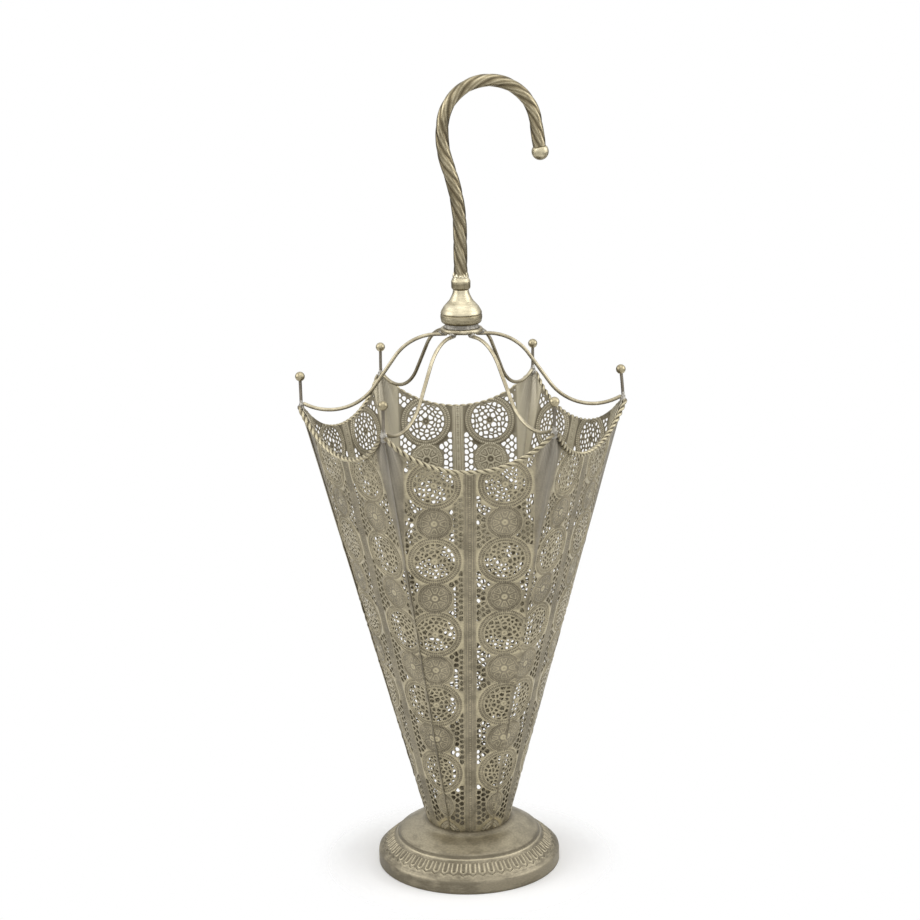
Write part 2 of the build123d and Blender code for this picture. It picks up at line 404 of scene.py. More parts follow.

# Basket sheet: wiped solder under the tips, and painted light that makes the inner face paler
wiped = {
    "solder": ((90, 85, 76), (174, 168, 155)),  # dark and bright streaks
    "solderShare": 0.85,
    # painted light: the paler colour laid over the inner face
    "inside": (212, 204, 179),
    "insideLightShare": 0.6,
}


def addSolderAndInsideLight(material):
    tree = material.node_tree
    shader = tree.nodes["Principled BSDF"]
    tone = shader.inputs["Base Color"].links[0].from_socket
    dark, bright = (colour(*streak) for streak in wiped["solder"])
    smear = mixColour(tree, maskValue(tree, "streak"), dark, bright)
    tone = mixColour(tree, times(tree, maskValue(tree, "solder"), wiped["solderShare"]), tone, smear)
    # painted light: how much of the paler colour covers the inner face
    insideLight = times(tree, maskValue(tree, "inside"), wiped["insideLightShare"])
    tree.links.new(mixColour(tree, insideLight, tone, colour(*wiped["inside"])), shader.inputs["Base Color"])


addSolderAndInsideLight(metals["panelSheet"])
report("finishes ready")

# Basket: one flat pattern, cut with its pebble holes and embossed, then bent over each gore
basket = {
    "sheet": 0.8,  # thickness
    "bulge": 6.5,  # crown of the rim edge outside the straight line between tips
    "scallop": 38.5,  # depth of the scalloped edge along the sheet
    "tipLand": 2.3,  # flat left at each tip
    "lap": 1.5,  # sheet laid over the next gore at the seam
    "lapLift": 0.7,
    "column": 35.1,  # wheels stand this far each side of the middle
    "row": 85.6,  # from one wheel to the next
    "firstRow": 74.0,
    "wheelRim": 27.8,  # outside of a wheel's border
    "wheelHole": 20.4,  # inside of it, where the piercing starts
    "wheelTicks": 72,
    "wheelHoles": ((6.9, 7), (10.9, 11), (14.9, 16), (18.3, 20)),  # rings of holes: radius and count
    "wheelBar": 1.65,  # metal between two holes of a wheel
    "boss": 4.0,
    "rosetteRim": 19.0,
    "rosetteDisc": 13.2,
    "rosetteTicks": 56,
    "petals": 8,
    "band": 6.4,  # half width of the closed middle band
    "plain": 64.5,  # the sheet is plain beyond this
    "bar": 1.45,  # metal between two holes outside the wheels
    "widest": 2.9,  # largest reach of a hole from its middle
    "pebble": (1.3, 3.0),  # range of the holes' own sizes
    "smallest": 1.8,  # smallest hole that is cut, square millimetres
    "corner": 0.26,  # share of each side cut off to soften a hole's corners
    "fromEdges": (2.0, 7.0, 2.4),  # metal left between a hole and the seam, neck and rim
    "halfRows": range(-3, 13),  # even ones are wheels, odd ones rosettes
    "edgePoints": (24, 160, 90),  # along neck, seam and scallop
    "relief": 0.5,  # of the embossing
    "reliefInside": 0.36,
    "folds": 1.1,  # in the solder below the tips
    "dents": 0.7,
    "dentSize": (34, 42),
    "dentEdge": 14,  # dents fade out towards the edges
    "rubRelief": 0.6,  # brightness of raised parts
    "rubNet": 0.3,  # and of the bars between holes
    # painted shade along each seam, and the size of the noise that breaks it up
    "seamShade": 0.9,
    "seamShadeSize": 55,
    "seed": 11,
}
goreLow, goreHigh = boxOf("gore_panel_2")
neckHeight, tipHeight = goreLow.z, goreHigh.z
neckRadius = goreLow.y / math.cos(sector / 2) + basket["sheet"]
tipRadius = goreHigh.y / math.cos(sector / 2)
crownRadius = goreHigh.y + basket["bulge"]
goreLength = math.hypot(tipHeight - neckHeight, crownRadius - neckRadius)
rimHalfChord = tipRadius * math.sin(sector / 2)
rimBend = (rimHalfChord**2 + basket["bulge"] ** 2) / (2 * basket["bulge"])
rimAngle = math.asin(rimHalfChord / rimBend)
neckHalf = neckRadius * sector / 2
rimHalf = rimBend * rimAngle
seamSlope = (rimHalf - neckHalf) / goreLength
scallopHalf = rimHalf - basket["tipLand"]
scallopBend = (scallopHalf**2 + basket["scallop"] ** 2) / (2 * basket["scallop"])
scallopMiddle = goreLength - basket["scallop"] + scallopBend
scallopReach = math.asin(scallopHalf / scallopBend)


# From the flat pattern (u across, v up from the neck) to the gore that looks along +X
def onSheet(u, v, lift=0.0):
    u, v = np.asarray(u, float), np.asarray(v, float)
    t = v / goreLength
    s = u / (neckHalf + seamSlope * v)
    a, b = s * sector / 2, s * rimAngle
    low = np.stack((neckRadius * np.cos(a), neckRadius * np.sin(a), np.full_like(t, neckHeight)))
    middle = crownRadius - rimBend
    high = np.stack((middle + rimBend * np.cos(b), rimBend * np.sin(b), np.full_like(t, tipHeight)))
    along = high - low
    lowTurn = np.stack((-np.sin(a), np.cos(a), np.zeros_like(t))) * neckHalf
    highTurn = np.stack((-np.sin(b), np.cos(b), np.zeros_like(t))) * rimHalf
    across = lowTurn * (1 - t) + highTurn * t
    normal = np.cross(across, along, axis=0)
    normal /= np.linalg.norm(normal, axis=0)
    return (low + along * t + normal * lift).T


def toRim(u, v):
    return np.hypot(u, v - scallopMiddle) - scallopBend


def toSeam(u, v):
    return (neckHalf + seamSlope * v - np.abs(u)) / math.hypot(1, seamSlope)


# Distances from the nearest wheel and rosette, and the angles around them
def patternSpot(u, v):
    p = basket
    du = np.abs(u) - p["column"]
    dm = v - p["firstRow"] - p["row"] * np.round((v - p["firstRow"]) / p["row"])
    half = p["firstRow"] + p["row"] / 2
    dr = v - half - p["row"] * np.round((v - half) / p["row"])
    return np.hypot(du, dm), np.hypot(du, dr), np.arctan2(dm, du), np.arctan2(dr, du)


# 0 at the inside of a wheel's or rosette's border and 1 at its outside
def borderShare(toWheel, toRosette):
    p = basket
    a = (toWheel - p["wheelHole"]) / (p["wheelRim"] - p["wheelHole"])
    b = (toRosette - p["rosetteDisc"]) / (p["rosetteRim"] - p["rosetteDisc"])
    return a, b


# Height of the embossing over the flat sheet, from about -1 to 1, and where the sheet is pierced
def emboss(u, v):
    p = basket
    toWheel, toRosette, wheelTurn, rosetteTurn = patternSpot(u, v)
    a, b = borderShare(toWheel, toRosette)
    onWheel = (a <= b) & (a <= 1)
    onRosette = (b < a) & (b <= 1)
    x = toWheel - p["wheelHole"]
    rows = plateau(0.9, 3.3, 0.5, x) + plateau(4.0, 6.4, 0.5, x)
    wheel = ridges(x, ((0.5, 0.45, 0.8), (3.65, 0.4, 0.7), (6.9, 0.45, 0.9)))
    wheel = wheel + 0.6 * rows * np.cos(wheelTurn * p["wheelTicks"]) + 0.12
    wheel = wheel + 0.8 * smoothStep(p["boss"], 2.6, toWheel) - 0.9 * ridge(toWheel, 0, 0.9)
    x = toRosette
    share = (rosetteTurn * p["petals"] / math.tau + 0.5) % 1 - 0.5
    beside = np.abs(share) * math.tau / p["petals"] * x
    leafTip = p["rosetteDisc"] - 1.1 - 0.6 * np.cos(share * 2 * math.tau)
    inLeaf = np.minimum(np.minimum(math.pi / p["petals"] * x - 0.75 - beside, leafTip - x), x - 5.2)
    petal = 0.1 * smoothStep(0, 0.5, inLeaf) + 0.75 * ridge(inLeaf, 0.5, 0.45)
    petal = petal + 0.3 * ridge(beside, 0, 0.4) * smoothStep(0.6, 1.4, inLeaf)
    button = 0.9 * smoothStep(3.8, 2.8, x) - 0.8 * ridge(x, 0, 0.9)
    x = toRosette - p["rosetteDisc"]
    rows = plateau(1.4, 4.1, 0.5, x)
    rosette = petal + button + ridges(x, ((0.8, 0.4, 0.6), (4.9, 0.45, 0.9)))
    rosette = rosette + 0.6 * rows * np.cos(rosetteTurn * p["rosetteTicks"])
    across = np.abs(u)
    wave = np.abs((v / 2.9) % 1 - 0.5) * 4 - 1
    band = ridges(across, ((6.0, 0.45, 0.8), (4.9, 0.4, 0.6), (2.7 + 0.8 * wave, 0.6, 0.8)))
    band = band + 0.55 * (1 + np.cos(v * math.tau / 2.2)) * ridge(across, 0, 0.75) - 0.2
    edge = 0.7 * ridge(across, p["plain"] + 0.5, 0.5)
    onBand = across < p["band"]
    height = np.where(onBand, band, np.where(onWheel, wheel, np.where(onRosette, rosette, edge)))
    net = ~onBand & ~onRosette & (across < p["plain"]) & ((a < 0) | ~onWheel) & (toWheel > p["boss"])
    return height, net


# Solder that was wiped down the seam below a tip
def wipedSolder(u, v):
    fromTop = goreLength - v
    fan = smoothStep(125, 15, fromTop) * smoothStep(20, 4, toSeam(u, v) + 0.06 * fromTop)
    return np.maximum(fan, smoothStep(165, 110, fromTop) * smoothStep(1.8, 0.6, toSeam(u, v)))


# Folds and wipe marks that run together at the tip
def solderStreaks(u, v):
    return noiseAt(toSeam(u, v) / (goreLength - v + 30) * 30, v * 0.012, 3.0)


def clipped(shape, px, py, nx, ny):
    kept = []
    for (x0, y0), (x1, y1) in zip(shape, shape[1:] + shape[:1]):
        d0 = (x0 - px) * nx + (y0 - py) * ny
        d1 = (x1 - px) * nx + (y1 - py) * ny
        if d0 <= 0:
            kept.append((x0, y0))
        if d0 * d1 < 0:
            k = d0 / (d0 - d1)
            kept.append((x0 + (x1 - x0) * k, y0 + (y1 - y0) * k))
    return kept


def areaOf(shape):
    pairs = zip(shape, shape[1:] + shape[:1])
    return sum(x0 * y1 - x1 * y0 for (x0, y0), (x1, y1) in pairs) / 2


def softened(shape):
    near, far = basket["corner"], 1 - basket["corner"]
    corners = []
    for (x0, y0), (x1, y1) in zip(shape, shape[1:] + shape[:1]):
        corners.append((x0 * far + x1 * near, y0 * far + y1 * near))
        corners.append((x0 * near + x1 * far, y0 * near + y1 * far))
    return corners


# Lines that a hole may not cross: seams, rim, neck, and the borders around its field
def holeLimits(x, y, wheel):
    p = basket
    fromSeam, fromNeck, fromRim = p["fromEdges"]
    lines = []
    slope = math.hypot(1, seamSlope)
    for side in (-1, 1):
        lines.append((side * (neckHalf - fromSeam), 0, side / slope, -seamSlope / slope))
    lines.append((0, fromNeck, 0, -1))
    away = math.hypot(x, y - scallopMiddle)
    rx, ry = x / away, (y - scallopMiddle) / away
    reach = scallopBend + fromRim
    lines.append((rx * reach, scallopMiddle + ry * reach, -rx, -ry))
    if wheel:
        cx, cy = wheel
        turn = math.atan2(y - cy, x - cx)
        for step in (-0.3, 0, 0.3):
            nx, ny = math.cos(turn + step), math.sin(turn + step)
            reach = p["wheelHole"] - 0.3
            lines.append((cx + nx * reach, cy + ny * reach, nx, ny))
        nx, ny = math.cos(turn), math.sin(turn)
        lines.append((cx + nx * p["boss"], cy + ny * p["boss"], -nx, -ny))
    else:
        side = math.copysign(1, x)
        lines.append((side * (p["band"] + 0.5), 0, -side, 0))
        lines.append((side * (p["plain"] - 0.5), 0, side, 0))
        for index in p["halfRows"]:
            cx, cy = side * p["column"], p["firstRow"] + index * p["row"] / 2
            rim = p["rosetteRim"] if index % 2 else p["wheelRim"]
            away = math.hypot(x - cx, y - cy)
            if away < rim + 14:  # others are too far off to matter
                nx, ny = (x - cx) / away, (y - cy) / away
                lines.append((cx + nx * (rim + 0.4), cy + ny * (rim + 0.4), -nx, -ny))
    return lines


# Pebble-like holes, each cut back from its neighbours so that bars of metal are left
def pebbleHoles():
    p = basket
    rng = random.Random(p["seed"])
    fields = []
    for side in (-1, 1):
        for index in range(-1, 6):
            centre = (side * p["column"], p["firstRow"] + index * p["row"])
            sites = []
            for radius, count in p["wheelHoles"]:
                start = rng.uniform(0, math.tau)
                for step in range(count):
                    turn = start + (step + rng.uniform(-0.25, 0.25)) * math.tau / count
                    r = radius + rng.uniform(-0.8, 0.8)
                    size = rng.uniform(*p["pebble"])
                    sites.append((centre[0] + r * math.cos(turn), centre[1] + r * math.sin(turn), size))
            fields.append((sites, centre))
        sites = []
        for column in range(13):
            for step in range(76):
                x = side * (p["band"] + 2.7 + column * 4.5 + rng.uniform(-0.5, 0.5))
                y = 4 + (step + column % 2 / 2) * 6.5 + rng.uniform(-0.8, 0.8)
                toWheel, toRosette = patternSpot(x, y)[:2]
                clear = min(toWheel - p["wheelRim"], toRosette - p["rosetteRim"], p["plain"] - abs(x))
                if clear > 1.3:
                    sites.append((x, y, rng.uniform(*p["pebble"])))
        fields.append((sites, None))
    holes = []
    for sites, wheel in fields:
        spots = np.array(sites)
        bar = p["wheelBar"] if wheel else p["bar"]
        for x, y, size in sites:
            if toSeam(x, y) < 1 or toRim(x, y) < 1 or y < 5:
                continue
            turns = [(step + 0.5) * math.tau / 10 for step in range(10)]
            shape = [(x + p["widest"] * math.cos(t), y + p["widest"] * math.sin(t) * 1.1) for t in turns]
            gaps = np.hypot(spots[:, 0] - x, spots[:, 1] - y)
            for near in np.argsort(gaps)[1:14]:
                nx, ny = (spots[near, :2] - (x, y)) / gaps[near]
                reach = gaps[near] / 2 + (size**2 - spots[near, 2] ** 2) / gaps[near] / 2 - bar / 2
                shape = clipped(shape, x + nx * reach, y + ny * reach, nx, ny)
            for line in holeLimits(x, y, wheel):
                shape = clipped(shape, *line)
            if len(shape) > 2 and areaOf(shape) > p["smallest"]:
                holes.append(softened(shape))
    return holes


# Mesh points that carry the embossing
def ringSpots():
    p = basket
    spots = []
    ticks = 2 * p["wheelTicks"]
    steps = (0.05, 0.5, 0.95, 1.4, 2.8, 3.3, 3.65, 4.0, 4.5, 5.9, 6.4, 6.9)
    wheelRings = [(p["wheelHole"] + x, ticks) for x in steps]
    wheelRings += [(0.05, 3), (0.9, 8), (1.8, 14), (2.7, 20), (3.6, 20)]
    discRings = [(0.05, 3), (0.9, 8), (1.8, 14), (2.8, 24), (3.8, 32), (4.7, 48), (5.2, 48), (5.8, 80)]
    discRings += [(x, 96) for x in (7.2, 8.6, 9.6, 10.3, 10.9, 11.5, 12.1, 12.7)]
    ticks = 2 * p["rosetteTicks"]
    rimRings = [(p["rosetteDisc"] + x, ticks) for x in (0.3, 0.8, 1.4, 1.9, 3.6, 4.1, 4.5, 4.9, 5.4)]
    for side in (-1, 1):
        for index in p["halfRows"]:
            cx, cy = side * p["column"], p["firstRow"] + index * p["row"] / 2
            rings = discRings + rimRings if index % 2 else wheelRings
            for radius, count in rings:
                turn = np.arange(count) * math.tau / count
                x, y = cx + radius * np.cos(turn), cy + radius * np.sin(turn)
                a, b = borderShare(*patternSpot(x, y)[:2])
                own = (b + 0.02 < a) if index % 2 else (a + 0.02 < b)
                spots += list(zip(x[own], y[own]))
    for x in (0, 0.7, 1.5, 1.9, 2.7, 3.5, 4.2, 4.9, 5.5, 6.0):
        for side in (-1, 1) if x else (1,):
            start, step = (0.725, 1.45) if x in (1.9, 2.7, 3.5) else (1.1, 1.1 if x == 0 else 2.9)
            spots += [(side * x, y) for y in np.arange(start, goreLength, step)]
    for x in np.arange(p["plain"] + 0.2, rimHalf, 1.3):
        for side in (-1, 1):
            spots += [(side * x, y) for y in np.arange(300, goreLength, 2.4)]
    spots = np.array(spots)
    u, v = spots[:, 0], spots[:, 1]
    inside = (toSeam(u, v) > 0.7) & (toRim(u, v) > 0.7) & (v > 0.7)
    return spots[inside]


def goreOutline():
    neckPoints, seamPoints, rimPoints = basket["edgePoints"]
    lap = basket["lap"]
    edge = [(x, 0.0) for x in np.linspace(-neckHalf, neckHalf + lap, neckPoints)]
    edge += [(neckHalf + seamSlope * v + lap, v) for v in np.linspace(0, goreLength, seamPoints)[1:]]
    for turn in np.linspace(scallopReach, -scallopReach, rimPoints):
        edge.append((scallopBend * math.sin(turn), scallopMiddle - scallopBend * math.cos(turn)))
    edge += [(-neckHalf - seamSlope * v, v) for v in np.linspace(goreLength, 0, seamPoints)[:-1]]
    return edge


# The flat sheet as triangles, with each corner's place in the pattern
def flatSheet():
    holes = pebbleHoles()
    points, owner, edges = [], [], []
    for index, loop in enumerate([goreOutline()] + holes):
        first, count = len(points), len(loop)
        points += loop
        owner += [index] * count
        edges += [(first + i, first + (i + 1) % count) for i in range(count)]
    points += [tuple(spot) for spot in ringSpots()]
    report(f"{len(holes)} holes and {len(points)} pattern points in a gore")
    found = delaunay_2d_cdt([Vector(p) for p in points], edges, [], 0, 1e-5, False)
    corners, triangles = np.array([tuple(p) for p in found[0]]), np.array(found[2])
    owner = np.array(owner + [0] * (len(corners) - len(owner)))[triangles]
    inHole = (owner == owner[:, :1]).all(axis=1) & (owner[:, 0] > 0)
    u, v = corners[triangles].mean(axis=1).T
    overlap = np.where(u > 0, basket["lap"], 0) / math.hypot(1, seamSlope)
    inside = (toSeam(u, v) > -overlap) & (toRim(u, v) > 0) & (v > 0)
    triangles = triangles[inside & ~inHole]
    a, b, c = (corners[triangles[:, i]] for i in range(3))
    crossed = (b[:, 0] - a[:, 0]) * (c[:, 1] - a[:, 1]) - (b[:, 1] - a[:, 1]) * (c[:, 0] - a[:, 0])
    triangles[crossed < 0] = triangles[crossed < 0][:, ::-1]
    used, triangles = np.unique(triangles, return_inverse=True)
    return corners[used], triangles.reshape(-1, 3)


def addGores():
    p = basket
    flat, triangles = flatSheet()
    u, v = flat[:, 0], flat[:, 1]
    count = len(flat)
    fromSeam = toSeam(u, v)
    height, net = emboss(u, v)
    solder = wipedSolder(u, v)
    streaks = solderStreaks(u, v)
    height = height * (1 - solder)
    # painted shade in a thin line along the seam, where the lap steps up
    seamShadow = smoothStep(0.9, 0.2, fromSeam) * (1 - solder)
    rubbed = np.clip(p["rubRelief"] * height + 0.08, -0.3, 1) + p["rubNet"] * net * (1 - solder)
    # painted shade on the inner face: dark in the pressed lines, seen from inside as hollows, and on the
    # backlit bars
    shaded = np.where(net, -0.3, -0.8 * height)
    # painted light on the inner face: the paler colour, left off the pressed lines and the bars
    insideLight = (1 - 0.8 * net) * (1 - np.clip(1.2 * height, 0, 1)) * (1 - 0.6 * solder)
    masks = {
        "solder": np.tile(solder, 2),
        "streak": np.tile(np.clip(0.5 + 0.9 * streaks, 0, 1), 2),
        "inside": np.concatenate((np.zeros(count), insideLight)),
    }
    lapped = smoothStep(0.0, -p["lap"] * 0.4, fromSeam) * (u > 0)
    calm = smoothStep(0, p["dentEdge"], np.minimum(np.minimum(fromSeam, toRim(u, v)), v))
    sides = dict.fromkeys(edge for a, b, c in triangles for edge in ((a, b), (b, c), (c, a)))
    walls = [(b, a, a + count, b + count) for a, b in sides if (b, a) not in sides]
    faces = triangles.tolist() + (triangles[:, ::-1] + count).tolist() + walls
    for index in range(gores):
        dents = noiseAt(u / p["dentSize"][0], v / p["dentSize"][1], 7.3 * index) * p["dents"]
        bent = streaks * solder * p["folds"] + lapped * p["lapLift"] + dents * calm
        outer = onSheet(u, v, bent + height * p["relief"])
        inner = onSheet(u, v, bent + height * p["reliefInside"] - p["sheet"])
        points = turned(np.vstack((outer, inner)), sector / 2 + index * sector)
        # noise that breaks up the painted seam shade along its length
        seamShadeVary = np.clip(0.5 + 1.3 * noiseAt(v / p["seamShadeSize"], 2.7 * index, np.sign(u)), 0.1, 1)
        raised = np.concatenate((rubbed - p["seamShade"] * seamShadow * seamShadeVary, shaded))
        name, node = f"gorePanel_{index + 1}", f"gore_panel_{index + 1}"
        addPiece(name, points, faces, metals["panelSheet"], "panel_sheet", [node], raised, 50, **masks)
    report(f"basket of {gores} gores, {2 * len(triangles) + 2 * len(walls)} triangles each")


# Rim: two strands of wire twisted together along each scalloped edge, outside the sheet
rope = {
    "strand": 1.5,  # radius of a wire
    "reach": 1.15,  # from the middle of the rope to the middle of a wire
    "lay": 15.4,  # length of one turn
    "below": 0.8,  # under the edge of the sheet
    "gap": 0.1,
    "taper": 14,  # the wires draw together over this length at each end
    "drawn": 0.55,
    "step": 1.0,
    "sides": 14,
}


def addRopes():
    bend = scallopBend + rope["below"]
    count = int(2 * scallopReach * bend / rope["step"])
    turns = np.linspace(-scallopReach, scallopReach, count)
    u, v = bend * np.sin(turns), scallopMiddle - bend * np.cos(turns)
    middle = onSheet(u, v, rope["strand"] + rope["reach"] + rope["gap"])
    outward = onSheet(u, v, 10) - onSheet(u, v, 0)
    outward /= np.linalg.norm(outward, axis=1)[:, None]
    ahead = np.gradient(middle, axis=0)
    step = np.linalg.norm(ahead, axis=1)
    upward = np.cross(ahead / step[:, None], outward)
    length = np.cumsum(step)
    taper = smoothStep(0, rope["taper"], np.minimum(length, length[-1] - length))
    away = rope["reach"] * (rope["drawn"] + (1 - rope["drawn"]) * taper)
    parts, shades = [], []
    for start in (0, math.pi):
        turn = start + math.tau * length / rope["lay"]
        path = middle + outward * (away * np.cos(turn))[:, None] + upward * (away * np.sin(turn))[:, None]
        skin = wireSkin(path, rope["strand"], rope["sides"])
        ringStarts = skin[0][:: rope["sides"]]
        nearest = np.array([np.argmin(np.linalg.norm(middle - p, axis=1)) for p in ringStarts])
        gap = np.linalg.norm(skin[0] - middle[np.repeat(nearest, rope["sides"])], axis=1)
        shades.append((gap - 1.5) / 0.9 - 0.4)  # bright outside, dark between the wires
        parts.append(skin)
    points, faces = joined(parts)
    raised = np.concatenate(shades)
    for index in range(gores):
        spun = turned(points, sector / 2 + index * sector)
        name, node = f"rimRope_{index + 1}", f"rim_rope_{index + 1}"
        addPiece(name, spun, faces, metals["ropeWire"], "rope_wire", [node], raised)
    report("twisted rim wires")


# Ribs, posts and balls, one set at each tip
tip = {
    "ribWire": 1.9,
    "kneeRadius": 53.0,
    "kneeBend": 52.0,
    "dipRadius": 119.0,
    "dipDepth": 23.0,
    "dipBend": 56.0,
    "endLift": 2.0,
    "ribStep": 1.6,
    "ribSides": 20,
    "postWire": 1.65,
    "postRows": 24,
    "postSides": 16,
    "ball": 5.0,
    "leans": (-2.4, 0.4, -0.6, 0.4, -0.3, 0.4),  # how far each ball stands out from its foot
    "leanCurve": 1.3,
}


def addTips():
    ribLow, ribHigh = boxOf("rib_wire_1")
    postLow, postHigh = boxOf("tip_post_1")
    hubZ = ribHigh.z - tip["ribWire"]
    postX = (postLow.x + postHigh.x) / 2
    ballZ = boxOf("tip_ball_1")[1].z - tip["ball"]
    corners = (
        (ribLow.x, 0, hubZ),
        (tip["kneeRadius"], 0, hubZ),
        (tip["dipRadius"], 0, tipHeight - tip["dipDepth"]),
        (postX - tip["postWire"], 0, tipHeight + tip["endLift"]),
    )
    ribPath = roundedRun(corners, (tip["kneeBend"], tip["dipBend"]), tip["ribStep"])
    rib = wireSkin(ribPath, tip["ribWire"], tip["ribSides"])
    ball = latheSkin(raisedBy(ballProfile(tip["ball"], tip["ball"], 30, 0.02), ballZ), 40, False)
    up = np.linspace(0, 1, tip["postRows"])
    for index, lean in enumerate(tip["leans"]):
        postZ = postLow.z + (ballZ - postLow.z) * up
        post = np.column_stack((postX + lean * up ** tip["leanCurve"], up * 0, postZ))
        stem = wireSkin(post, tip["postWire"], tip["postSides"])
        topBall = (ball[0] + (postX + lean, 0, 0), ball[1])
        number, angle = index + 1, index * sector
        sets = (
            ("ribWire", "rib_wire", rib, metals["brightWire"], "bright_wire"),
            ("tipPost", "tip_post", stem, metals["postRod"], "post_rod"),
            ("tipBall", "tip_ball", topBall, metals["tipBrass"], "tip_brass"),
        )
        for name, node, (points, faces), material, slot in sets:
            addPiece(f"{name}_{number}", turned(points, angle), faces, material, slot, [f"{node}_{number}"])
        addTipSolder(number, postX, angle)
    report("ribs, posts and balls")


# Grey solder run around the foot of a post, over the rope ends
def addTipSolder(number, postX, angle):
    base = tipHeight - 4.5
    profile = [(0.05, base - 2.5), (2.2, base - 2.0), (3.6, base), (3.9, base + 2.5), (3.3, base + 5)]
    profile += [(2.5, base + 7), (2.0, base + 9), (1.7, base + 11), (0.05, base + 11.2)]
    points, faces = latheSkin(roundedRun(profile, [0.4] * (len(profile) - 2), 0.6), 28, False)
    rough = lumps(points, 2.6, number * 3.1)
    points[:, :2] *= (1 + 0.28 * rough)[:, None]
    points[:, 0] = points[:, 0] * 0.8 + postX
    points = turned(points, angle)
    addPiece(f"tipSolder_{number}", points, faces, metals["solderGrey"], "solder", (), rough)


# Hub: ring over the ribs, rough collar of solder, turned bell and bead
hub = {
    "ring": 19.4,
    "wire": 2.5,
    "bore": 4.2,
    "ringLumps": 0.35,
    "collarLumps": 0.7,
    "groove": 0.8,  # around the bell
    "lines": 0.05,  # tool marks on the bell
}


def addHub():
    ringLow, ringHigh = boxOf("hub_ring")
    ringZ = (ringLow.z + ringHigh.z) / 2
    turns = np.arange(24) * math.tau / 24
    profile = [(hub["ring"] + hub["wire"] * math.cos(t), ringZ + hub["wire"] * math.sin(t)) for t in turns]
    points, faces = latheSkin(profile, 120, True)
    rough = lumps(points, 5, 2.0)
    points[:, 2] += rough * hub["ringLumps"]
    addPiece("hubRing", points, faces, metals["brightWire"], "bright_wire", ["hub_ring"])
    low, high = boxOf("hub_collar")
    profile = [(hub["bore"], low.z - 1.5), (17.0, low.z - 1.5), (18.2, low.z), (17.2, low.z + 1.6)]
    profile += [(16.9, high.z), (16.6, high.z + 1.6), (15.5, high.z + 1.9), (hub["bore"], high.z + 1.9)]
    points, faces = latheSkin(roundedRun(profile, [0.5] * (len(profile) - 2), 0.45), 168, True)
    rough = lumps(points, 4.2, 5.0) + 0.5 * lumps(points, 1.7, 9.0)
    wide = np.hypot(points[:, 0], points[:, 1]) > 12
    points[:, :2] *= (1 + wide * rough * hub["collarLumps"] / 18)[:, None]
    points[:, 2] += wide * 0.5 * lumps(points, 3.3, 1.0)
    addPiece("hubCollar", points, faces, metals["solderGrey"], "solder", ["hub_collar"], 0.3 * rough - 0.1)
    addBell()
    addBead()
    addRibSolder(ringZ)
    report("hub, bell and bead")


# Blobs where the ribs are soldered under the ring
def addRibSolder(ringZ):
    parts, heights = [], []
    for index in range(gores):
        points, faces = latheSkin(ballProfile(3.2, 2.6, 14, 0.03), 24, False)
        rough = lumps(points, 2.2, 4.0 + index)
        points *= (1 + 0.3 * rough)[:, None]
        points[:, 0] = points[:, 0] * 1.5 + hub["ring"] - 0.4
        points[:, 2] += ringZ - 2.7
        parts.append((turned(points, index * sector), faces))
        heights.append(rough)
    points, faces = joined(parts)
    addPiece("ribSolder", points, faces, metals["solderGrey"], "solder", (), np.concatenate(heights))


def addBell():
    low, high = boxOf("bell_finial")
    z, bore = low.z, hub["bore"]
    corners = [(bore, z), (17.4, z), (20.4, z + 1.6), (21.45, z + 6.2), (21.3, z + 12.2), (17.7, z + 18.2)]
    corners += [(12.0, z + 24.4), (8.9, z + 30.6), (7.9, high.z), (bore, high.z)]
    run = roundedRun(corners, (0.8, 3, 6, 9, 12, 14, 12, 0), 0.3)

    def cutLines(r, height, turn):
        x = height - z
        fine = np.sin(x * 9.0) * smoothStep(12, 15, x) + 0.6 * np.sin(x * 15.7)
        groove = -hub["groove"] * ridge(x, 10.2, 0.55)
        return (groove + hub["lines"] * fine * (r > 5)), np.zeros_like(r)

    points, faces = latheSkin(run, 144, True, cutLines)
    x = points[:, 2] - z
    belly = 0.35 * smoothStep(10.4, 9.6, x) + 0.8 * smoothStep(3.5, 1.0, x + 1.6 * lumps(points, 5, 3.0))
    raised = 0.25 - 1.2 * ridge(x, 10.2, 0.6) - belly
    addPiece("bellFinial", points, faces, metals["turnedBrass"], "turned_brass", ["bell_finial"], raised)


def addBead():
    low, high = boxOf("collar_bead")
    z, bore = low.z, hub["bore"]
    corners = [(bore, z), (8.1, z), (9.8, z + 1.9), (9.9, z + 9.0), (7.6, high.z), (bore, high.z)]
    points, faces = latheSkin(roundedRun(corners, (0.3, 2.4, 3.6, 0.6), 0.35), 96, True)
    x = points[:, 2] - z
    rough = lumps(points, 2.4, 8.0)
    points[:, :2] *= (1 + 0.09 * rough * smoothStep(9.0, 12.0, x))[:, None]
    raised = 0.5 * smoothStep(5, 11, x) - 0.35 + 0.5 * rough * smoothStep(9, 12, x) - ridge(x, 0.2, 0.8)
    addPiece("collarBead", points, faces, metals["turnedBrass"], "turned_brass", ["collar_bead"], raised)
    addRodWeld(high.z)


# Spatter drawn up around the foot of the rod in uneven peaks
def addRodWeld(z):
    corners = [(5.4, z - 1.2), (8.3, z - 0.8), (8.2, z + 0.6), (7.6, z + 1.6), (7.2, z + 2.4), (5.4, z + 2.4)]
    points, faces = latheSkin(roundedRun(corners, [0.3] * 4, 0.3), 120, True)
    turn = np.arctan2(points[:, 1], points[:, 0])
    around = np.column_stack((7 * np.cos(turn), 7 * np.sin(turn), 0 * turn))
    points[:, 2] += smoothStep(z, z + 2.4, points[:, 2]) * (0.3 + 3.0 * lumps(around, 2.6, 6.0))
    rough = lumps(points, 1.7, 2.0)
    points[:, :2] *= (1 + 0.07 * rough)[:, None]
    addPiece("rodWeld", points, faces, metals["turnedBrass"], "solder", (), 0.25 + 1.3 * rough)


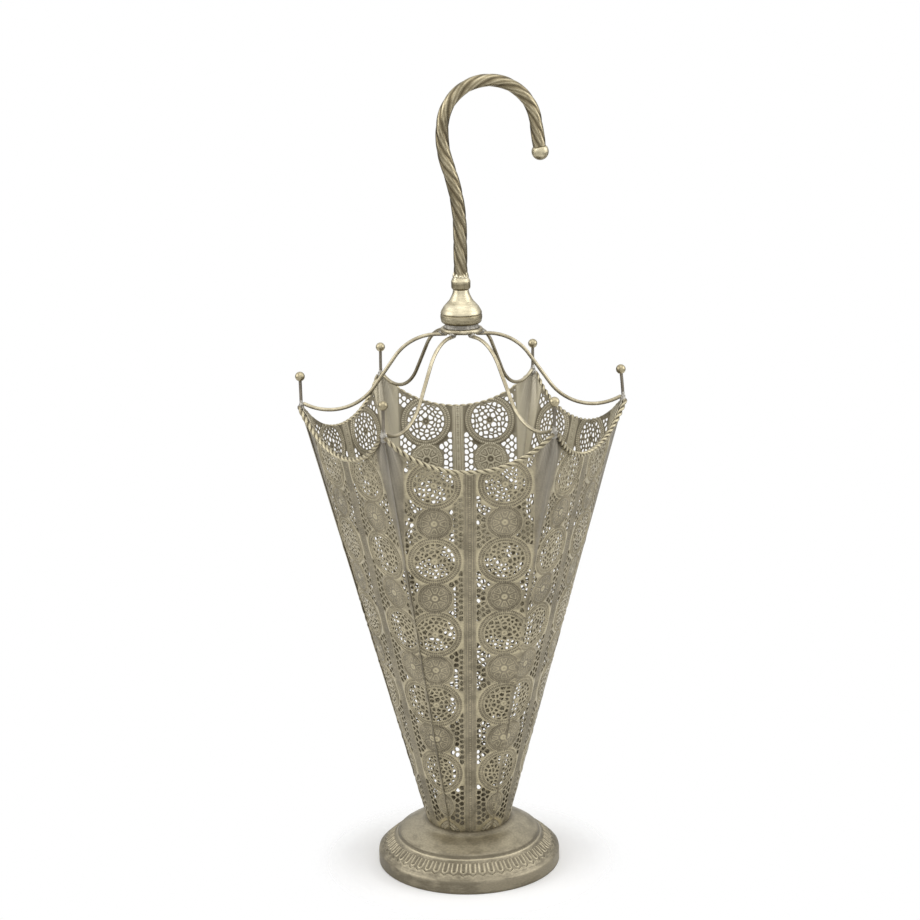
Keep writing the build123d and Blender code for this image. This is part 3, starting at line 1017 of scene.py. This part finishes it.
# Crook: a rod with four soft grooves in a left-handed twist.
# Straight runs are (length, 0); bends are (radius, degrees), positive to the left.
crook = {
    "rod": 7.1,
    "groove": 0.85,
    "grooveWidth": 0.23,  # radians
    "lobes": 4,
    "lead": 95.0,
    "runs": ((46.0, 0.0), (200.0, 17.5), (10.0, 0.0), (95.0, -25.5), (47.0, -164.0), (27.0, 0.0)),
    "bow": -0.09,  # the rod is drawn thinner over the bow
    "bowFrom": (110, 170),
    "flare": -0.03,  # and a little wider again towards the ball
    "flareFrom": -40,
    "sunk": 0.6,  # into the bead
    "ball": 8.7,
    "ballSeat": 0.4,
    "step": 1.0,
    "sides": 64,
}


def crookPath(base):
    spot, heading = np.array((0.0, base)), math.pi / 2
    path = [spot]
    for size, degrees in crook["runs"]:
        length = size * abs(math.radians(degrees)) if degrees else size
        count = max(1, int(length / crook["step"]))
        bend = math.radians(degrees) / count
        chord = 2 * size * math.sin(abs(bend) / 2) if degrees else length / count
        for _ in range(count):
            spot = spot + chord * np.array((math.cos(heading + bend / 2), math.sin(heading + bend / 2)))
            heading += bend
            path.append(spot)
    return np.array([(x, 0.0, z) for x, z in path]), heading


def addCrook():
    path, heading = crookPath(boxOf("collar_bead")[1].z - crook["sunk"])
    steps = np.linalg.norm(np.diff(path, axis=0), axis=1)
    length = np.concatenate(((0,), np.cumsum(steps)))
    turns = np.arange(crook["sides"]) * math.tau / crook["sides"]
    width = 1 + crook["bow"] * smoothStep(*crook["bowFrom"], length)
    width = width + (crook["flare"] - crook["bow"]) * smoothStep(crook["flareFrom"], 0, length - length[-1])
    halfLobe = math.pi / crook["lobes"]
    outlines, shades = [], []
    for along, scale in zip(length, width):
        twist = -math.tau * along / crook["lead"]
        local = (turns - twist + halfLobe) % (2 * halfLobe) - halfLobe
        fromGroove = halfLobe - np.abs(local)
        groove = ridge(fromGroove, 0, crook["grooveWidth"])
        radius = (crook["rod"] - crook["groove"] * groove) * scale
        outlines.append(list(zip(radius * np.cos(turns), radius * np.sin(turns))))
        shade = 0.2 - 0.8 * groove + 0.3 * ridge(fromGroove, 0.5, 0.12)
        shades.append(shade - 0.3 * ridge(local, 0.05, 0.08))
    points, faces = sweptSkin(path, outlines)
    raised = np.concatenate(shades)
    addPiece("crookHandle", points, faces, metals["twistedRod"], "twisted_rod", ["crook_handle"], raised)
    way = np.array((math.cos(heading), 0, math.sin(heading)))
    addCrookBall(path[-1], way, crook["rod"] * width[-1] + crook["ballSeat"])
    report("twisted crook")


# Ball that is cut flat where the rod ends in it
def addCrookBall(end, way, flat):
    radius = crook["ball"]
    seat = math.sqrt(radius**2 - flat**2)
    tilt = np.linspace(-math.acos(seat / radius) + math.pi / 2, -math.pi / 2, 40)
    profile = [(radius * math.cos(t), radius * math.sin(t)) for t in tilt]
    profile = [(0.03, seat)] + profile[:-1] + [(0.03, -radius)]
    points, faces = latheSkin(profile, 64, False)
    # painted shade, darkest at the underside of the ball
    under = smoothStep(0, -radius, points[:, 2])
    across = np.array((way[2], 0, -way[0]))
    points = points @ np.array((across, (0, 1, 0), -way)) + end + way * seat
    faces = [face[::-1] for face in faces]
    raised = 0.15 + 0.5 * lumps(points, 4, 6.0) - 0.8 * under
    addPiece("crookBall", points, faces, metals["turnedBrass"], "turned_brass", ["crook_ball"], raised)


# Foot: pressed sheet with a border of tongues on its sloping band.
# Places on the band are measured up the slope from its outer edge.
foot = {
    "sheet": 1.0,
    "lip": 7,  # turned in under the wall
    "bandOuter": 97.4,
    "bandInner": 75.6,
    "wall": 13.8,
    "bandTop": 31.2,
    "stepTop": 33.6,
    "dome": (61.0, 41.6),
    "waist": (50.5, 44.0),
    "aroundNeck": 1.5,
    "opening": 34,
    "bends": (0.5, 3, 0.8, 3, 40, 8, 0),
    "bendsInside": (0.3, 3, 0.5, 2, 40, 8, 0),
    "row": 0.7,  # between mesh rows on the band
    "rowInside": 6.0,
    "dents": 0.35,
    "relief": 0.7,
    "tongues": 56,
    "perTongue": 16,  # mesh columns
    "tongueEnd": 13,  # middle of the round end
    "tongueRidges": ((2.7, 0.7, 0.9), (0, 1.2, -0.6), (4.3, 0.6, -0.35)),
    "zigzag": 6.2,
    "zigzagSwing": 3.2,
    "zigzagRidges": ((0, 0.5, 0.8), (-1.6, 0.4, 0.5), (1.0, 0.5, -0.6)),
    "lines": ((3.9, 0.4, 0.4), (26.0, 1.5, 0.7)),  # a fine line and the bead along the step
}


def footBorder(r, z, turn):
    p = foot
    wide = p["bandOuter"] - p["bandInner"]
    slope = math.hypot(wide, p["bandTop"] - p["wall"])
    w = (p["bandOuter"] - r) / wide * slope
    share = (turn * p["tongues"] / math.tau + 0.5) % 1 - 0.5
    x = share * math.tau * r / p["tongues"]
    d = np.where(w > p["tongueEnd"], np.abs(x), np.hypot(x, w - p["tongueEnd"]))
    tongue = ridges(d, p["tongueRidges"]) * smoothStep(8.6, 9.4, w) * smoothStep(22.3, 21.3, w)
    fromZigzag = w - p["zigzag"] - p["zigzagSwing"] * np.abs(2 * share)
    zigzag = ridges(fromZigzag, p["zigzagRidges"]) * smoothStep(9.6, 8.8, w)
    onBand = smoothStep(1.5, 3, w) * (w < slope + 0.2) * (z > p["wall"] - 3) * (z < p["bandTop"] + 0.6)
    return (tongue + zigzag + ridges(w, p["lines"])) * onBand


def addFoot():
    p = foot
    top = boxOf("base_foot")[1].z
    neck = neckRadius + p["aroundNeck"]
    edge, inner, sheet = p["bandOuter"], p["bandInner"], p["sheet"]
    corners = [(edge - p["lip"], 0), (edge, 0), (edge, p["wall"]), (inner, p["bandTop"])]
    corners += [(inner, p["stepTop"]), p["dome"], p["waist"], (neck, top), (p["opening"], top)]
    outside = roundedRun(corners, p["bends"], p["row"])
    onBand = (outside[:, 1] > p["wall"] + 1) & (outside[:, 1] < p["stepTop"])
    outside = outside[onBand | (np.arange(len(outside)) % 3 == 0)]  # fewer rows where it is plain
    inset = [(edge - p["lip"], sheet), (edge - sheet, sheet), (edge - sheet, p["wall"] - 0.7)]
    inset += [(inner - sheet, p["bandTop"] - 0.7), (inner - sheet, p["stepTop"] - 0.8)]
    inset += [(r - 0.6, z - sheet) for r, z in (p["dome"], p["waist"])]
    inset += [(neck - 0.8, top - sheet), (p["opening"], top - sheet)]
    inside = roundedRun(inset, p["bendsInside"], p["rowInside"])
    profile = np.vstack((outside, inside[::-1]))
    columns = p["tongues"] * p["perTongue"]
    isOutside = np.repeat(np.arange(len(profile)) < len(outside), columns)
    rise, run = p["bandTop"] - p["wall"], edge - inner
    slope = math.hypot(rise, run)

    def pressed(r, z, turn):
        lift = footBorder(r, z, turn) * isOutside * p["relief"]
        dent = noiseAt(np.cos(turn) * r / 30, np.sin(turn) * r / 30, z / 20) * p["dents"]
        dent = dent * smoothStep(1, 6, z) * smoothStep(top - 0.5, top - 4, z)
        return lift * rise / slope + dent, lift * run / slope + dent

    points, faces = latheSkin(profile, columns, True, pressed)
    smooth = latheSkin(profile, columns, True)[0]
    r, z = np.hypot(smooth[:, 0], smooth[:, 1]), smooth[:, 2]
    raised = footBorder(r, z, np.arctan2(smooth[:, 1], smooth[:, 0]))
    raised += 0.3 * ridge(z, p["wall"] + 0.6, 1.3) * (r > edge - 5)  # painted highlight along the crease
    raised -= 0.9 * ridge(r, inner, 0.9) * (z > p["bandTop"] - 1) * (z < p["stepTop"])  # painted shade at the step
    raised += 0.45 * smoothStep(p["stepTop"] - 1, p["stepTop"] + 2, z) * (r > neck)
    raised -= 0.8 * smoothStep(top - 3.5, top - 0.5, z) + 0.6 * smoothStep(1.6, 0.2, z)  # painted shade at the neck and along the floor
    addPiece("baseFoot", points, faces, metals["footSheet"], "foot_sheet", ["base_foot"], raised, 40)
    report("foot with its border of tongues")


# White floor and soft studio light, in metres
studio = {
    "floorRadius": 1.6,
    "floorColour": (0.93, 0.93, 0.93, 1),
    "floorFade": (0.112, 0.175),  # the seen floor passes into white
    "sky": 0.7,  # even light from all around
    "skyDark": 0.26,  # what the metal mirrors beside and behind
    "skyAbove": 1.2,  # overhead
    "skyBright": 1.5,  # and high in front
    "skyTilt": (-0.6, 0.55),  # how far in front and how high
    "skySides": 0.5,
    "skyFront": (-0.5, 0.9),
    "skyOver": (0.05, 0.4),
    "lampSize": 1.8,
    "lampAim": (0, 0, 0.35),
    "lamps": {  # place and power
        "topSoftbox": ((0.1, -0.5, 2.4), 12),
        "leftSoftbox": ((-2.1, -0.35, 1.3), 25),
        "rightSoftbox": ((2.1, -0.35, 1.3), 25),
    },
}


def addFloor():
    bpy.ops.mesh.primitive_circle_add(vertices=96, radius=studio["floorRadius"], fill_type="NGON")
    floor = bpy.context.object
    floor.name = "paleFloor"
    material = bpy.data.materials.new("paleFloor")
    material.use_nodes = True
    tree = material.node_tree
    place = addNode(tree, "TexCoord", {})["Object"]
    away = addNode(tree, "VectorMath", {0: place}, operation="LENGTH")["Value"]
    gone = rangeNode(tree, away, *studio["floorFade"])
    gone = times(tree, gone, addNode(tree, "LightPath", {})["Is Camera Ray"])
    inputs = {"Base Color": studio["floorColour"], "Roughness": 0.9, "Specular IOR Level": 0.0}
    inputs["Alpha"] = mathNode(tree, "SUBTRACT", 1.0, gone)
    feed(tree, tree.nodes["Principled BSDF"], inputs)
    floor.data.materials.append(material)


def addSky():
    world = bpy.data.worlds.new("studioWorld")
    scene.world = world
    world.use_nodes = True
    tree = world.node_tree
    dark, even = studio["skyDark"], studio["sky"]
    path = addNode(tree, "LightPath", {})
    seen = mathNode(tree, "MAXIMUM", path["Is Camera Ray"], path["Is Transmission Ray"])
    way = addNode(tree, "SeparateXYZ", {0: addNode(tree, "TexCoord", {})["Generated"]})
    ahead = blend(tree, way["Y"], way["Z"], studio["skyTilt"])
    beside = times(tree, mathNode(tree, "ABSOLUTE", way["X"]), studio["skySides"])
    front = mathNode(tree, "SUBTRACT", ahead, beside)
    front = rangeNode(tree, front, *studio["skyFront"], dark, studio["skyBright"])
    above = rangeNode(tree, way["Z"], *studio["skyOver"], dark, studio["skyAbove"])
    dome = mathNode(tree, "SUBTRACT", mathNode(tree, "MAXIMUM", front, above), even)
    level = mathNode(tree, "ADD", times(tree, path["Is Glossy Ray"], dome), even)
    level = mathNode(tree, "MAXIMUM", level, seen)
    feed(tree, tree.nodes["Background"], {"Color": (1, 1, 1, 1), "Strength": level})


def addLamps():
    for name, (spot, power) in studio["lamps"].items():
        data = bpy.data.lights.new(name, "AREA")
        data.size = studio["lampSize"]
        data.energy = power
        lamp = bpy.data.objects.new(name, data)
        lamp.location = spot
        aim = Vector(studio["lampAim"]) - Vector(spot)
        lamp.rotation_euler = aim.to_track_quat("-Z", "Y").to_euler()
        scene.collection.objects.link(lamp)


# Camera as in the photograph
view = {
    "place": (-93.4, -2314.3, 1032.5),
    "pitch": 90 - 14.259,
    "turn": -2.223,
    "roll": -0.87,
    "lens": 90.09,
    "sensor": 36,
    "farthest": 50,  # metres
}


def addCamera():
    data = bpy.data.cameras.new("photoCamera")
    data.lens = view["lens"]
    data.sensor_width = view["sensor"]
    data.clip_end = view["farthest"]
    camera = bpy.data.objects.new("photoCamera", data)
    aim = Euler((math.radians(view["pitch"]), 0, math.radians(view["turn"]))).to_matrix()
    roll = Matrix.Rotation(math.radians(view["roll"]), 3, "Z")
    camera.matrix_world = Matrix.Translation(Vector(view["place"]) * mm) @ (aim @ roll).to_4x4()
    scene.collection.objects.link(camera)
    scene.camera = camera


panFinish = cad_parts["floor_pan"].data.materials
panFinish.clear()
panFinish.append(metals["panelSheet"])
addGores()
addRopes()
addTips()
addHub()
addCrook()
addFoot()
addFloor()
addSky()
addLamps()
addCamera()
report("camera and light set")
